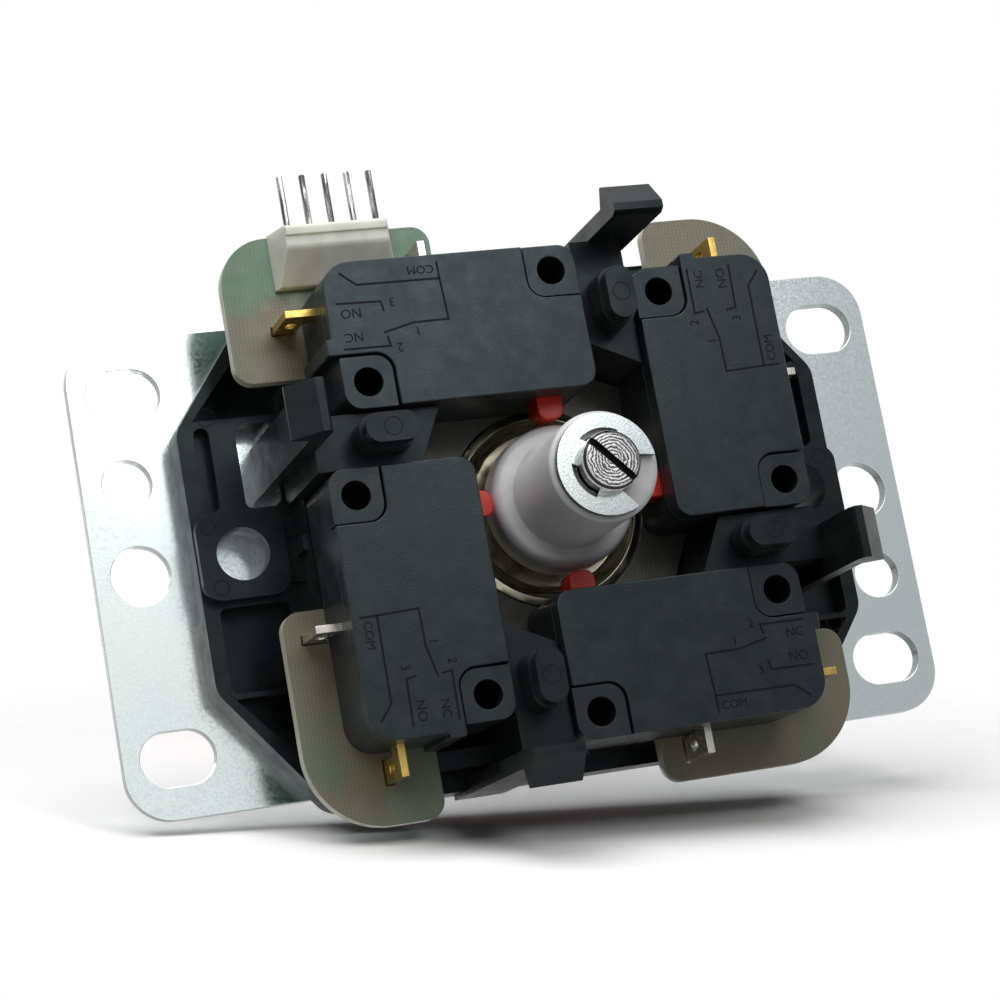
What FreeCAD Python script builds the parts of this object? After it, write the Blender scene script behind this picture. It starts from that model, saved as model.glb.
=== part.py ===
import FreeCAD, Part
import math
import os
import re

import Sketcher
from FreeCAD import Placement, Rotation, Vector

# Arcade joystick lever, in millimetres.
# The origin is the middle of the plate's panel-side face, on the lever's axis.
# +Z points along the lever to its ball, +X along the plate's long side.
# The switches, the board and the actuator hang below the plate, at negative Z.

# Driving sizes. Each is a cell of the spreadsheet with the name as its alias.
SIZES = {
    # Plate
    "plate_long": 96.0,
    "plate_wide": 53.0,
    "plate_thick": 1.6,
    "plate_corner": 5.0,
    "slot_edge_long": 6.0,
    "slot_edge_wide": 6.5,
    "slot_long": 8.3,
    "slot_wide": 6.0,
    "side_hole_edge": 5.0,
    "side_hole_radius": 3.3,
    "small_hole_shift": 10.15,
    "small_hole_radius": 2.75,
    # Plate screws
    "screw_place_long": 20.0,
    "screw_place_wide": 20.5,
    "screw_radius": 1.45,
    "screw_head_radius": 2.75,
    "screw_long": 8.0,
    "screw_head_thick": 0.8,
    # Base moulding
    "base_half_long": 37.8,
    "base_half_wide": 28.4,
    "base_bevel_long": 10.7,
    "base_bevel_wide": 14.1,
    "rim_depth": 4.5,
    "rim_band": 1.9,
    "floor_thick": 1.4,
    "wall_thick": 2.0,
    "ear_inset": 4.9,
    "ear_long": 9.6,
    "ear_wide": 9.6,
    "ear_rise": 1.5,
    "ear_corner": 2.0,
    "ear_hole_radius": 2.9,
    "groove_inset": 2.7,
    "groove_wide": 1.7,
    "groove_long": 9.4,
    "groove_middle": 9.8,
    "groove_deep": 1.8,
    "window_long": 4.0,
    "window_wide": 9.4,
    "pocket_inset": 1.7,
    "drum_inset": 0.25,
    "drum_bevel": 9.0,
    "boss_radius": 10.6,
    "boss_rise": 0.4,
    "boss_collar_radius": 11.6,
    "column_radius": 3.4,
    "rib_thick": 1.6,
    # Pivot
    "pivot_depth": 4.0,
    "pivot_radius": 7.0,
    "pivot_gap": 0.15,
    "pivot_cap": 3.2,
    "pivot_foot": 5.4,
    "throat_radius": 5.0,
    # Board
    "board_gap": 9.6,
    "board_thick": 1.6,
    "board_half": 31.4,
    "board_corner": 8.5,
    "board_end_corner": 2.0,
    "lobe_long": 1.7,
    "lobe_wide": 0.5,
    "lobe_corner": 5.5,
    "board_hole_radius": 11.0,
    "notch_low": 7.9,
    "notch_high": 17.1,
    "notch_floor": 24.5,
    "notch_rise": 6.0,
    "notch_corner": 2.5,
    "fit_gap": 0.15,
    # Pin header
    "header_middle": 19.2,
    "header_long": 13.9,
    "header_near": 27.0,
    "header_far": 33.3,
    "header_ridge": 30.8,
    "header_high": 3.8,
    "header_low": 1.2,
    "header_lip": 1.2,
    "header_step": 0.25,
    "header_slope": 1.3,
    "pin_pitch": 2.5,
    "pin_side": 0.64,
    "pin_reach": 5.9,
    "pin_level": 2.2,
    # Switches
    "switch_left": 23.2,
    "switch_right": 4.6,
    "switch_near": 10.75,
    "switch_far": 26.65,
    "switch_thick": 10.3,
    "cover_thick": 2.2,
    "switch_corner": 1.8,
    "switch_corner_end": 3.2,
    "switch_tab": 0.6,
    "stop_wide": 1.8,
    "shell_wall": 1.4,
    "hole_radius": 1.55,
    "near_hole_long": 20.45,
    "near_hole_wide": 13.56,
    "far_hole_long": 1.75,
    "far_hole_wide": 23.86,
    "pad_half": 3.0,
    "pad_corner": 2.0,
    "pad_sink": 0.35,
    "plunger_wide": 2.9,
    "plunger_thick": 3.4,
    "plunger_gap": 0.12,
    "plunger_tail": 3.6,
    "plunger_tip": 8.3,
    "blade_thick": 0.8,
    "blade_top": 4.0,
    "blade_wide": 2.5,
    "blade_root": 2.6,
    "blade_eye_long": 1.8,
    "blade_eye_wide": 1.1,
    "blade_eye_drop": 3.4,
    "blade_through": 0.9,
    "end_blade_place": 22.6,
    "end_blade_reach": 3.95,
    "side_blade_place": 11.0,
    "side_blade_reach": 2.8,
    # Towers with their posts and hooks
    "tower_inner": 4.75,
    "tower_outer": 10.6,
    "tower_edge_inner": 15.87,
    "tower_edge_outer": 12.97,
    "tower_sink": 1.5,
    "post_place_long": 7.73,
    "post_place_wide": 19.8,
    "post_long": 5.8,
    "post_wide": 3.1,
    "post_rise": 5.0,
    "post_foot": 0.35,
    "post_foot_rise": 3.4,
    "hook_place": 9.8,
    "hook_wide": 5.6,
    "hook_inner": 27.1,
    "hook_arm": 1.8,
    "hook_rise": 7.5,
    "hook_reach": 2.1,
    "hook_slope": 2.7,
    "hook_edge": 0.4,
    # Lever
    "shaft_radius": 3.15,
    "neck_radius": 4.0,
    "neck_start": 9.4,
    "thread_radius": 2.9,
    "thread_end": 37.0,
    "shaft_tail": 1.9,
    "shaft_chamfer": 0.5,
    "screwdriver_wide": 0.75,
    "screwdriver_deep": 0.9,
    "bore_gap": 0.05,
    "ball_radius": 17.5,
    "ball_middle": 41.0,
    "ball_flat_radius": 6.5,
    "insert_radius": 4.6,
    "insert_end": 38.0,
    # Actuator
    "actuator_top": 13.8,
    "actuator_top_radius": 7.0,
    "actuator_radius": 7.9,
    "actuator_taper": 1.4,
    "actuator_shoulder": 19.4,
    "actuator_neck_radius": 5.9,
    "actuator_foot": 32.0,
    "actuator_cup": 19.0,
    "actuator_cup_radius": 6.0,
    # E-ring
    "ring_thick": 0.8,
    "ring_radius": 5.4,
    "ring_band": 1.6,
    "ring_groove_radius": 2.45,
    "ring_mouth_inner": 4.2,
    "ring_mouth_outer": 7.2,
    "ring_prong": 2.8,
    "ring_prong_end": 0.4,
    # Spring and its seat
    "seat_radius": 10.85,
    "seat_floor_radius": 9.0,
    "seat_thick": 0.8,
    "seat_rise": 1.5,
    "seat_edge": 0.25,
    "wire_radius": 0.4,
    "seat_hole_radius": 4.6,
    "coil_radius": 5.1,
    "coil_pitch": 2.2,
}

NODES = []

# Levels below the panel-side face, as formulas of the sizes
PLATE_FACE = "-plate_thick"
RIM_FACE = "(-plate_thick - rim_depth)"
EAR_FACE = "(-plate_thick - rim_depth - ear_rise)"
BOARD_TOP = "(-plate_thick - board_gap)"
BOARD_FACE = "(-plate_thick - board_gap - board_thick)"
DRUM = "(switch_far - drum_inset)"
EAR_PLACE = "(base_half_long - ear_inset)"
SWITCH_FACE = "(-plate_thick - board_gap - board_thick - switch_thick)"
COVER_JOINT = "(-plate_thick - board_gap - board_thick - switch_thick + cover_thick)"
SWITCH_MIDDLE = "(-plate_thick - board_gap - board_thick - switch_thick / 2)"
TOWER_FACE = "(-plate_thick - board_gap - board_thick - switch_thick + tower_sink)"
SEAT_FACE = "(-plate_thick - board_gap - seat_thick)"
BLADE_TOP = "(-plate_thick - board_gap - board_thick - switch_thick + blade_top)"
SHAFT_FOOT = "(-actuator_foot - ring_thick - shaft_tail)"
LEG_PLACE = "(header_ridge - pin_side)"
BALL_FLAT = "(ball_middle - sqrt(ball_radius ^ 2 - ball_flat_radius ^ 2))"

# Quarter turns that carry the front switch to the other three
SIDES = {"front": 0, "right": 90, "rear": 180, "left": 270}

# Turns of the e-ring's mouth and of the screwdriver slot about the shaft, in degrees
RING_TURN = 28
SLOT_TURN = 48

os.makedirs("parts", exist_ok=True)
doc = FreeCAD.newDocument("ArcadeJoystickLever")
sheet = doc.addObject("Spreadsheet::Sheet", "Sizes")
for row, (alias, size) in enumerate(SIZES.items(), 1):
    sheet.set(f"A{row}", alias)
    sheet.set(f"B{row}", str(size))
    sheet.setAlias(f"B{row}", alias)
doc.recompute()


def formula(text):
    """The text with each size's name turned into its cell in the sheet."""
    return re.sub(r"[a-z_]{3,}", lambda word: f"Sizes.{word[0]}" if word[0] in SIZES else word[0], str(text))


def number(text):
    """What a formula comes to, as a plain number."""
    value = sheet.evalExpression(formula(text))
    return float(getattr(value, "Value", value))


def bind(thing, name, text):
    thing.setExpression(name, formula(text))


def origin_part(body, role):
    return next(part for part in body.Origin.OriginFeatures if part.Role == role)


class Drawing:
    """A sketch on one of a body's own planes, with every point and radius bound to the sheet."""

    def __init__(self, body, name, plane="XY_Plane", offset="0"):
        self.sketch = body.newObject("Sketcher::SketchObject", name)
        self.sketch.AttachmentSupport = [(origin_part(body, plane), "")]
        self.sketch.MapMode = "FlatFace"
        bind(self.sketch, ".AttachmentOffset.Base.z", offset)

    def add(self, *constraint, text=None):
        index = self.sketch.addConstraint(Sketcher.Constraint(*constraint))
        if text is not None:
            bind(self.sketch, f"Constraints[{index}]", text)

    def pin(self, item, point, x, y):
        self.add("DistanceX", item, point, number(x), text=x)
        self.add("DistanceY", item, point, number(y), text=y)

    def circle(self, x, y, radius):
        middle = Vector(number(x), number(y), 0)
        item = self.sketch.addGeometry(Part.Circle(middle, Vector(0, 0, 1), number(radius)), False)
        self.pin(item, 3, x, y)
        self.add("Radius", item, number(radius), text=radius)

    def arc(self, middle, radius, start, end):
        """An arc about a pinned middle, from one angle to the other, anticlockwise."""
        circle = Part.Circle(Vector(number(middle[0]), number(middle[1]), 0), Vector(0, 0, 1), number(radius))
        item = self.sketch.addGeometry(Part.ArcOfCircle(circle, start, end), False)
        self.pin(item, 3, *middle)
        self.add("Radius", item, number(radius), text=radius)
        return item

    def line(self, start, end):
        return self.sketch.addGeometry(Part.LineSegment(Vector(*start, 0), Vector(*end, 0)), False)

    def oblong(self, x, y, length, width, upright=False):
        """A slot with round ends, its middle at x, y."""
        half = f"(({length}) - ({width})) / 2"
        radius = f"({width}) / 2"
        if upright:
            ends = [(x, f"({y}) + {half}"), (x, f"({y}) - {half}")]
            turn = 0.0
        else:
            ends = [(f"({x}) - {half}", y), (f"({x}) + {half}", y)]
            turn = math.pi / 2
        arcs = [
            self.arc(middle, radius, turn + k * math.pi, turn + (k + 1) * math.pi)
            for k, middle in enumerate(ends)
        ]
        points = [self.sketch.getPoint(arcs[k], p) for k, p in ((0, 2), (1, 1), (1, 2), (0, 1))]
        sides = [self.line(points[k][:2], points[k + 1][:2]) for k in (0, 2)]
        for arc, point, side, end in ((0, 2, 0, 1), (1, 1, 0, 2), (1, 2, 1, 1), (0, 1, 1, 2)):
            self.add("Tangent", arcs[arc], point, sides[side], end)

    def outline(self, corners):
        """A closed outline. A corner is (x, y), or (x, y, radius) where it is rounded."""
        places = [Vector(number(c[0]), number(c[1]), 0) for c in corners]
        count = len(corners)
        cuts = []
        for k, corner in enumerate(corners):
            before = (places[k - 1] - places[k]).normalize()
            after = (places[(k + 1) % count] - places[k]).normalize()
            if len(corner) == 2:
                cuts.append((places[k], places[k], None))
                continue
            radius = number(corner[2])
            half = before.getAngle(after) / 2
            start = places[k] + before * (radius / math.tan(half))
            end = places[k] + after * (radius / math.tan(half))
            middle = places[k] + (before + after).normalize() * (radius / math.sin(half))
            bend = middle + (places[k] - middle).normalize() * radius
            cuts.append((start, end, bend))
        lines = [self.line(cuts[k][1][:2], cuts[(k + 1) % count][0][:2]) for k in range(count)]
        for k, corner in enumerate(corners):
            last, following = lines[k - 1], lines[k]
            if cuts[k][2] is None:
                self.add("Coincident", last, 2, following, 1)
                self.pin(following, 1, corner[0], corner[1])
                continue
            start, end, bend = cuts[k]
            arc = self.sketch.addGeometry(Part.Arc(start, bend, end), False)
            first = 1 if (Vector(*self.sketch.getPoint(arc, 1)) - start).Length < 1e-6 else 2
            self.add("Tangent", last, 2, arc, first)
            self.add("Tangent", arc, 3 - first, following, 1)
            self.add("Radius", arc, number(corner[2]), text=corner[2])
            sharp = self.sketch.addGeometry(Part.Point(places[k]), True)
            self.pin(sharp, 1, corner[0], corner[1])
            self.add("PointOnObject", sharp, 1, last)
            self.add("PointOnObject", sharp, 1, following)

    def box(self, x, y, width, height, radius=None):
        """A rectangle with its middle at x, y, its corners rounded where a radius is given."""
        corners = [
            (f"({x}) {a} ({width}) / 2", f"({y}) {b} ({height}) / 2")
            for a, b in (("-", "-"), ("+", "-"), ("+", "+"), ("-", "+"))
        ]
        if radius:
            corners = [(a, b, radius) for a, b in corners]
        self.outline(corners)


def new_body(name, turn=0):
    """A body that becomes the node of that name, turned about the lever's axis."""
    body = doc.addObject("PartDesign::Body", name)
    body.Label = name
    body.Placement = Placement(Vector(), Rotation(Vector(0, 0, 1), turn))
    NODES.append(body)
    return body


def pad(body, name, drawing, length, down=True):
    """Material from the drawing, towards the player's side or, as usual here, away from it."""
    feature = body.newObject("PartDesign::Pad", name)
    feature.Profile = drawing.sketch
    bind(feature, "Length", length)
    feature.Reversed = down
    return feature


def pad_both_ways(body, name, drawing, length):
    feature = pad(body, name, drawing, length, down=False)
    feature.Midplane = True
    return feature


def pocket(body, name, drawing, length, up=True):
    """A cut from the drawing into the body. It fails where it takes nothing away."""
    before = body.Tip.Shape.Volume if body.Tip else 0
    feature = body.newObject("PartDesign::Pocket", name)
    feature.Profile = drawing.sketch
    bind(feature, "Length", length)
    feature.Reversed = up
    doc.recompute()
    if not feature.Shape.Volume < before - 1e-6:
        raise ValueError(f"{body.Label}: the cut {name} takes nothing away")
    return feature


def turned(body, name, drawing):
    """The drawing turned about the lever's axis."""
    feature = body.newObject("PartDesign::Revolution", name)
    feature.Profile = drawing.sketch
    feature.ReferenceAxis = (drawing.sketch, ["V_Axis"])
    feature.Angle = 360
    return feature


def around(body, name, features, count=4):
    """The features repeated about the lever's axis."""
    pattern = body.newObject("PartDesign::PolarPattern", name)
    pattern.Originals = features
    pattern.Axis = (origin_part(body, "Z_Axis"), [""])
    pattern.Angle = 360
    pattern.Occurrences = count
    body.Tip = pattern
    doc.recompute()
    return pattern


def block(name, x, y, z):
    """A box between two formulas along each axis."""
    box = doc.addObject("Part::Box", name)
    for size, place, (low, high) in (("Length", "x", x), ("Width", "y", y), ("Height", "z", z)):
        bind(box, size, f"({high}) - ({low})")
        bind(box, f".Placement.Base.{place}", low)
    return box


def rod(name, radius, low, high, x="0", y="0"):
    """A round bar along Z."""
    bar = doc.addObject("Part::Cylinder", name)
    bind(bar, "Radius", radius)
    bind(bar, "Height", f"({high}) - ({low})")
    for place, text in (("x", x), ("y", y), ("z", low)):
        bind(bar, f".Placement.Base.{place}", text)
    return bar


def joined(name, parts):
    fuse = doc.addObject("Part::MultiFuse", name)
    fuse.Shapes = parts
    return fuse


def less(name, whole, tools):
    cut = doc.addObject("Part::Cut", name)
    cut.Base = whole
    cut.Tool = tools[0] if len(tools) == 1 else joined(f"{name}_tools", tools)
    return cut


def keep(thing, name, turn=0):
    """Makes the object the node of that name."""
    thing.Label = name
    thing.Placement = Placement(Vector(), Rotation(Vector(0, 0, 1), turn))
    NODES.append(thing)
    return thing


def both_signs():
    return [(x, y) for x in ("-", "+") for y in ("-", "+")]


def mounting_plate():
    body = new_body("mounting_plate")
    blank = Drawing(body, "PlateOutline")
    blank.box("0", "0", "plate_long", "plate_wide", "plate_corner")
    pad(body, "PlateBlank", blank, "plate_thick")
    doc.recompute()
    holes = Drawing(body, "PlateHoles", offset=PLATE_FACE)
    for x, y in both_signs():
        holes.oblong(f"0 {x} (plate_long / 2 - slot_edge_long)", f"0 {y} (plate_wide / 2 - slot_edge_wide)",
                     "slot_long", "slot_wide")
        holes.circle(f"0 {x} screw_place_long", f"0 {y} screw_place_wide", "screw_radius")
    for x in ("-", "+"):
        holes.circle(f"0 {x} (plate_long / 2 - side_hole_edge)", "0", "side_hole_radius")
        holes.circle(f"0 {x} (plate_long / 2 - side_hole_edge)", f"0 {x} small_hole_shift", "small_hole_radius")
    holes.circle("0", "0", "boss_collar_radius + fit_gap")
    pocket(body, "PlateCuts", holes, "plate_thick")
    sinks = Drawing(body, "ScrewSinks")
    for x, y in both_signs():
        sinks.circle(f"0 {x} screw_place_long", f"0 {y} screw_place_wide", "screw_head_radius")
    pocket(body, "ScrewSeats", sinks, "screw_head_thick", up=False)


def plate_screws():
    parts = []
    for k, (x, y) in enumerate(both_signs()):
        place = {"x": f"0 {x} screw_place_long", "y": f"0 {y} screw_place_wide"}
        parts.append(rod(f"ScrewHead{k}", "screw_head_radius", "-screw_head_thick", "0", **place))
        parts.append(rod(f"ScrewShank{k}", "screw_radius", "-screw_long", "-screw_head_thick", **place))
    keep(joined("PlateScrews", parts), "plate_screws")


def eight_sided(drawing, long_, wide, bevel_long, bevel_wide, corner=None):
    """An eight-sided outline about the axis, from its half sizes and its bevels."""
    corners = []
    for sx, sy, order in (("", "", 1), ("-", "", -1), ("-", "-", 1), ("", "-", -1)):
        points = [(f"({long_})", f"(({wide}) - ({bevel_wide}))"), (f"(({long_}) - ({bevel_long}))", f"({wide})")]
        corners += [(sx + x, sy + y) + ((corner,) if corner else ()) for x, y in points[::order]]
    drawing.outline(corners)


def base_shell(body):
    """The eight-sided tray with its drum, its boss and the pillars of the screws."""
    blank = Drawing(body, "BaseOutline", offset=PLATE_FACE)
    eight_sided(blank, "base_half_long", "base_half_wide", "base_bevel_long", "base_bevel_wide", "3")
    pad(body, "BaseBlank", blank, "rim_depth")
    drum = Drawing(body, "DrumOutline", offset=RIM_FACE)
    eight_sided(drum, DRUM, DRUM, "drum_bevel", "drum_bevel")
    pad(body, "Drum", drum, "board_gap - rim_depth")
    doc.recompute()
    well = Drawing(body, "DrumWell", offset=BOARD_TOP)
    inner = f"{DRUM} - wall_thick"
    eight_sided(well, inner, inner, "drum_bevel - wall_thick / 2", "drum_bevel - wall_thick / 2")
    pocket(body, "Well", well, "board_gap - floor_thick")

    sunk = Drawing(body, "SunkPockets", offset=RIM_FACE)
    slits = Drawing(body, "Windows", offset=RIM_FACE)
    grooves = Drawing(body, "RimGrooves", offset=RIM_FACE)
    low, high = "ear_wide / 2 + 0.6", "base_half_wide - base_bevel_wide + 0.4"
    for side in ("-", "+"):
        middle = f"0 {side} (base_half_long - pocket_inset + {DRUM} + wall_thick) / 2"
        width = f"base_half_long - pocket_inset - {DRUM} - wall_thick"
        sunk.box(middle, f"(({low}) + ({high})) / 2", width, f"({high}) - ({low})", "0.8")
        slits.box(f"0 {side} ({DRUM} + wall_thick / 2 + window_long / 2)", "-groove_middle",
                  "window_long", "window_wide", "0.8")
        grooves.oblong(f"0 {side} (base_half_long - groove_inset)", "-groove_middle",
                       "groove_long", "groove_wide", upright=True)
    pocket(body, "Sunk", sunk, "rim_depth - floor_thick")
    corners = Drawing(body, "CornerPockets", offset=RIM_FACE)
    side_x, side_y = "(base_half_long - rim_band)", "(base_half_wide - rim_band)"
    start = "(base_half_wide - base_bevel_wide + rim_band / 2)"
    for x, y in both_signs():
        corners.outline([
            (f"0 {x} {side_x}", f"0 {y} {start}"),
            (f"0 {x} (base_half_long - base_bevel_long - rim_band / 2)", f"0 {y} {side_y}"),
            (f"0 {x} ({DRUM} - drum_bevel)", f"0 {y} {side_y}"),
            (f"0 {x} {DRUM}", f"0 {y} ({DRUM} - drum_bevel)"),
            (f"0 {x} {DRUM}", f"0 {y} {start}"),
        ])
    pocket(body, "CornerCuts", corners, "rim_depth - floor_thick")
    pocket(body, "WindowCuts", slits, "rim_depth")
    pocket(body, "Grooves", grooves, "groove_deep")

    boss = Drawing(body, "BossOutline", offset=PLATE_FACE)
    boss.circle("0", "0", "boss_radius")
    pad(body, "Boss", boss, "board_gap")
    collar = Drawing(body, "CollarOutline", offset=PLATE_FACE)
    collar.circle("0", "0", "boss_collar_radius")
    pad(body, "Collar", collar, "plate_thick - boss_rise", down=False)
    pillars = Drawing(body, "PillarOutlines", offset=PLATE_FACE)
    for x, y in both_signs():
        pillars.circle(f"0 {x} screw_place_long", f"0 {y} screw_place_wide", "column_radius")
    pad(body, "Pillars", pillars, "board_gap")
    ears = Drawing(body, "EarOutlines", offset=PLATE_FACE)
    for side in ("-", "+"):
        ears.box(f"0 {side} {EAR_PLACE}", "0", "ear_long", "ear_wide", "ear_corner")
    pad(body, "Ears", ears, "rim_depth + ear_rise")
    necks = Drawing(body, "EarNecks", offset=PLATE_FACE)
    for side in ("-", "+"):
        necks.box(f"0 {side} ({DRUM} + {EAR_PLACE}) / 2", "0", f"{EAR_PLACE} - {DRUM} + 1", "ear_wide * 0.75")
    pad(body, "Necks", necks, "rim_depth + ear_rise / 2")
    ribs = Drawing(body, "RibOutline", offset=PLATE_FACE)
    ribs.box(f"-(boss_radius + {DRUM}) / 2", "0", f"{DRUM} - boss_radius + 1", "rib_thick")
    ribs_pad = pad(body, "Rib", ribs, "board_gap - 1.2")
    around(body, "Ribs", [ribs_pad])
    doc.recompute()

    holes = Drawing(body, "BaseHoles", offset=EAR_FACE)
    for side in ("-", "+"):
        holes.circle(f"0 {side} {EAR_PLACE}", "0", "ear_hole_radius")
    pocket(body, "EarHoles", holes, "rim_depth + ear_rise")
    pilots = Drawing(body, "ScrewPilots", offset=PLATE_FACE)
    for x, y in both_signs():
        pilots.circle(f"0 {x} screw_place_long", f"0 {y} screw_place_wide", "screw_radius")
    pocket(body, "Pilots", pilots, "screw_long - plate_thick", up=False)


def base_towers(body):
    """Four towers between the switches, each with an oval post and a spring hook."""
    tower = Drawing(body, "TowerOutline", offset=PLATE_FACE)
    tower.outline([
        ("tower_inner", "-tower_edge_inner"),
        ("tower_inner", "-hook_inner"),
        ("tower_outer", "-hook_inner"),
        ("tower_outer", "-tower_edge_outer"),
    ])
    made = [pad(body, "Tower", tower, "board_gap + board_thick + switch_thick - tower_sink")]
    foot = Drawing(body, "PostFootOutline", offset=TOWER_FACE)
    foot.oblong("post_place_long", "-post_place_wide", "post_long + 2 * post_foot",
                "post_wide + 2 * post_foot", upright=True)
    made.append(pad(body, "PostFoot", foot, "post_foot_rise"))
    post = Drawing(body, "PostOutline", offset=TOWER_FACE)
    post.oblong("post_place_long", "-post_place_wide", "post_long", "post_wide", upright=True)
    made.append(pad(body, "Post", post, "post_rise"))
    hook = Drawing(body, "HookProfile", "YZ_Plane", "hook_place")
    outer = "(hook_inner + hook_arm)"
    tip = f"({SWITCH_FACE} - hook_rise)"
    hook.outline([
        ("-hook_inner", PLATE_FACE),
        ("-hook_inner", f"{tip} + 2 * hook_edge"),
        ("-hook_inner - hook_edge", tip),
        (f"-({outer} + hook_reach - hook_slope)", tip),
        (f"-({outer} + hook_reach)", f"{tip} + hook_slope"),
        (f"-({outer} + hook_reach)", f"{tip} + hook_slope + hook_edge"),
        (f"-{outer}", f"{tip} + hook_slope + 3 * hook_edge"),
        (f"-{outer}", PLATE_FACE),
    ])
    made.append(pad_both_ways(body, "Hook", hook, "hook_wide"))
    around(body, "Towers", made)


def base_socket(body):
    """The ball's bowl, open towards the plate, and its throat for the shaft."""
    bowl = body.newObject("PartDesign::SubtractiveSphere", "Bowl")
    bind(bowl, "Radius", "pivot_radius + pivot_gap")
    bind(bowl, ".Placement.Base.z", "-pivot_depth")
    doc.recompute()
    mouth = Drawing(body, "SocketMouth", offset="-pivot_depth")
    mouth.circle("0", "0", "pivot_radius + pivot_gap")
    pocket(body, "Mouth", mouth, "pivot_depth")
    throat = Drawing(body, "ThroatOutline", offset=BOARD_TOP)
    throat.circle("0", "0", "throat_radius")
    pocket(body, "Throat", throat, "plate_thick + board_gap - pivot_depth")


def base_body():
    body = new_body("base_body")
    base_shell(body)
    base_towers(body)
    base_socket(body)


def quarter_turned(corner, turns):
    """A corner of an outline, turned about the lever's axis."""
    x, y, *radius = corner
    for _ in range(turns):
        x, y = f"-({y})", f"({x})"
    return (x, y, *radius)


def board_corners():
    """The board's outline: a lobe at each corner, and a cut between them for each tower and its hook.
    The lobe that carries the pin header stands out further than the others."""
    half, gap = "board_half", "fit_gap"
    corners = []
    for turns, side in enumerate(SIDES):
        front = f"{half} + lobe_long" if side == "front" else half
        start = f"{half} + lobe_wide" if side == "front" else half
        end = f"{half} + lobe_wide" if side == "left" else half
        points = [
            (f"-({start})", f"-({front})", "lobe_corner" if side == "front" else "board_corner"),
            ("-notch_low", f"-({front})", "board_end_corner"),
            ("-notch_low", "-notch_floor", "notch_corner"),
            (f"tower_inner - {gap}", "-notch_floor"),
            (f"tower_inner - {gap}", f"-tower_edge_inner + 2 * {gap}"),
            (f"tower_outer + {gap}", f"-tower_edge_outer + 2 * {gap}"),
            ("notch_high", "-tower_edge_outer - notch_rise", "notch_corner"),
            ("notch_high", f"-({end})", "board_end_corner"),
        ]
        corners += [quarter_turned(point, turns) for point in points]
    return corners


def circuit_board():
    body = new_body("circuit_board")
    blank = Drawing(body, "BoardOutline", offset=BOARD_TOP)
    blank.outline(board_corners())
    pad(body, "BoardBlank", blank, "board_thick")
    doc.recompute()
    hole = Drawing(body, "BoardHole", offset=BOARD_TOP)
    hole.circle("0", "0", "board_hole_radius")
    pocket(body, "Hole", hole, "board_thick", up=False)
    slot = Drawing(body, "BladeSlots", offset=BOARD_TOP)
    reach = "switch_left + end_blade_reach - blade_wide / 2"
    slot.box(f"-({reach})", "-end_blade_place", "blade_wide + 2 * fit_gap", "blade_thick + 2 * fit_gap")
    reach = "switch_far + side_blade_reach - blade_wide / 2"
    slot.box("-side_blade_place", f"-({reach})", "blade_thick + 2 * fit_gap", "blade_wide + 2 * fit_gap")
    cut = pocket(body, "Slot", slot, "board_thick", up=False)
    around(body, "Slots", [cut])
    pins = Drawing(body, "PinHoles", offset=BOARD_TOP)
    for k in range(-2, 3):
        pins.box(f"-header_middle + {k} * pin_pitch", f"-{LEG_PLACE}", "pin_side", "pin_side")
    pocket(body, "PinCuts", pins, "board_thick", up=False)


def connector():
    """The pin header: a sloped housing with slanted ends, and five pins bent down through the board."""
    body = new_body("connector_housing")
    top = f"{BOARD_FACE} - header_high"
    side = Drawing(body, "HeaderProfile", "YZ_Plane", "-header_middle")
    side.outline([
        ("-header_near", BOARD_FACE),
        ("-header_near", f"{BOARD_FACE} - header_low", "0.3"),
        ("-header_ridge", f"{top} + header_step", "1.2"),
        ("-header_far + header_lip", f"{top} + header_step"),
        ("-header_far + header_lip", top),
        ("-header_far", top, "0.5"),
        ("-header_far", BOARD_FACE),
    ])
    pad_both_ways(body, "HeaderBlock", side, "header_long")
    doc.recompute()
    ends = Drawing(body, "HeaderEnds", "XZ_Plane", "header_far")
    holes = Drawing(body, "HeaderHoles", "XZ_Plane", "header_far")
    uprights = Drawing(body, "HeaderLegs", offset=BOARD_FACE)
    for out, back in (("-", "+"), ("+", "-")):
        end = f"-header_middle {out} header_long / 2"
        ends.outline([(end, BOARD_FACE), (f"{end} {back} header_slope", top), (f"{end} {out} header_slope", top)])
    for k in range(-2, 3):
        x = f"-header_middle + {k} * pin_pitch"
        holes.box(x, f"{BOARD_FACE} - pin_level", "pin_side", "pin_side")
        uprights.box(x, f"-{LEG_PLACE}", "pin_side", "pin_side")
    pocket(body, "EndSlopes", ends, "header_far - header_near", up=False)
    pocket(body, "PinWays", holes, f"header_far - {LEG_PLACE} + pin_side / 2", up=False)
    pocket(body, "LegWays", uprights, "pin_level + pin_side / 2", up=False)
    parts = []
    for k in range(-2, 3):
        x = (f"-header_middle + {k} * pin_pitch - pin_side / 2", f"-header_middle + {k} * pin_pitch + pin_side / 2")
        level = f"{BOARD_FACE} - pin_level"
        leg = f"-{LEG_PLACE} + pin_side / 2"
        parts.append(block(f"PinArm{k + 2}", x, ("-header_far - pin_reach", leg),
                           (f"{level} - pin_side / 2", f"{level} + pin_side / 2")))
        parts.append(block(f"PinLeg{k + 2}", x, (f"{leg} - pin_side", leg),
                           (f"{level} - pin_side / 2", f"{BOARD_TOP} + 0.8")))
    keep(joined("ConnectorPins", parts), "connector_pins")


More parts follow.
